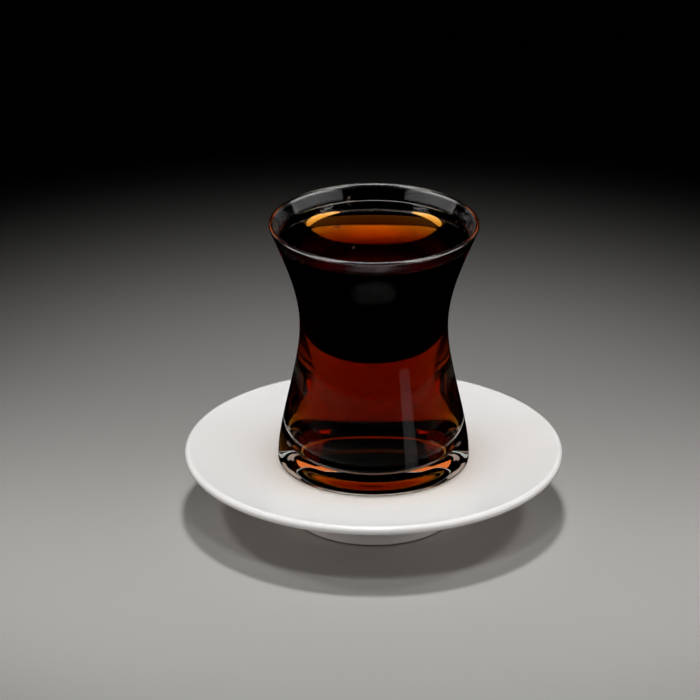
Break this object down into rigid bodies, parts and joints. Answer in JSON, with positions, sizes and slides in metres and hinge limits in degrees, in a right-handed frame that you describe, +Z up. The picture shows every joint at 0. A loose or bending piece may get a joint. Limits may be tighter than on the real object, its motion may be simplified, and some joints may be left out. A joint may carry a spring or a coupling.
{
  "type": "glass of tea on a saucer",
  "caption": "Waisted clear tea glass filled with dark red tea, standing on a round white porcelain saucer with a foot ring.",
  "frame": {"origin": "on the surface the saucer stands on, under the middle of its foot ring", "axes": "+Z up along the axis that glass, tea and saucer share; the pieces are round, so X and Y are alike"},
  "size_m": [0.1202, 0.1202, 0.0997],
  "materials": {
    "clear_glass": "polished",
    "black_tea": "gloss",
    "white_porcelain": "gloss"
  },
  "bodies": {
    "root": {"glass": "clear_glass", "tea": "black_tea", "saucer": "white_porcelain"}
  },
  "joints": []
}
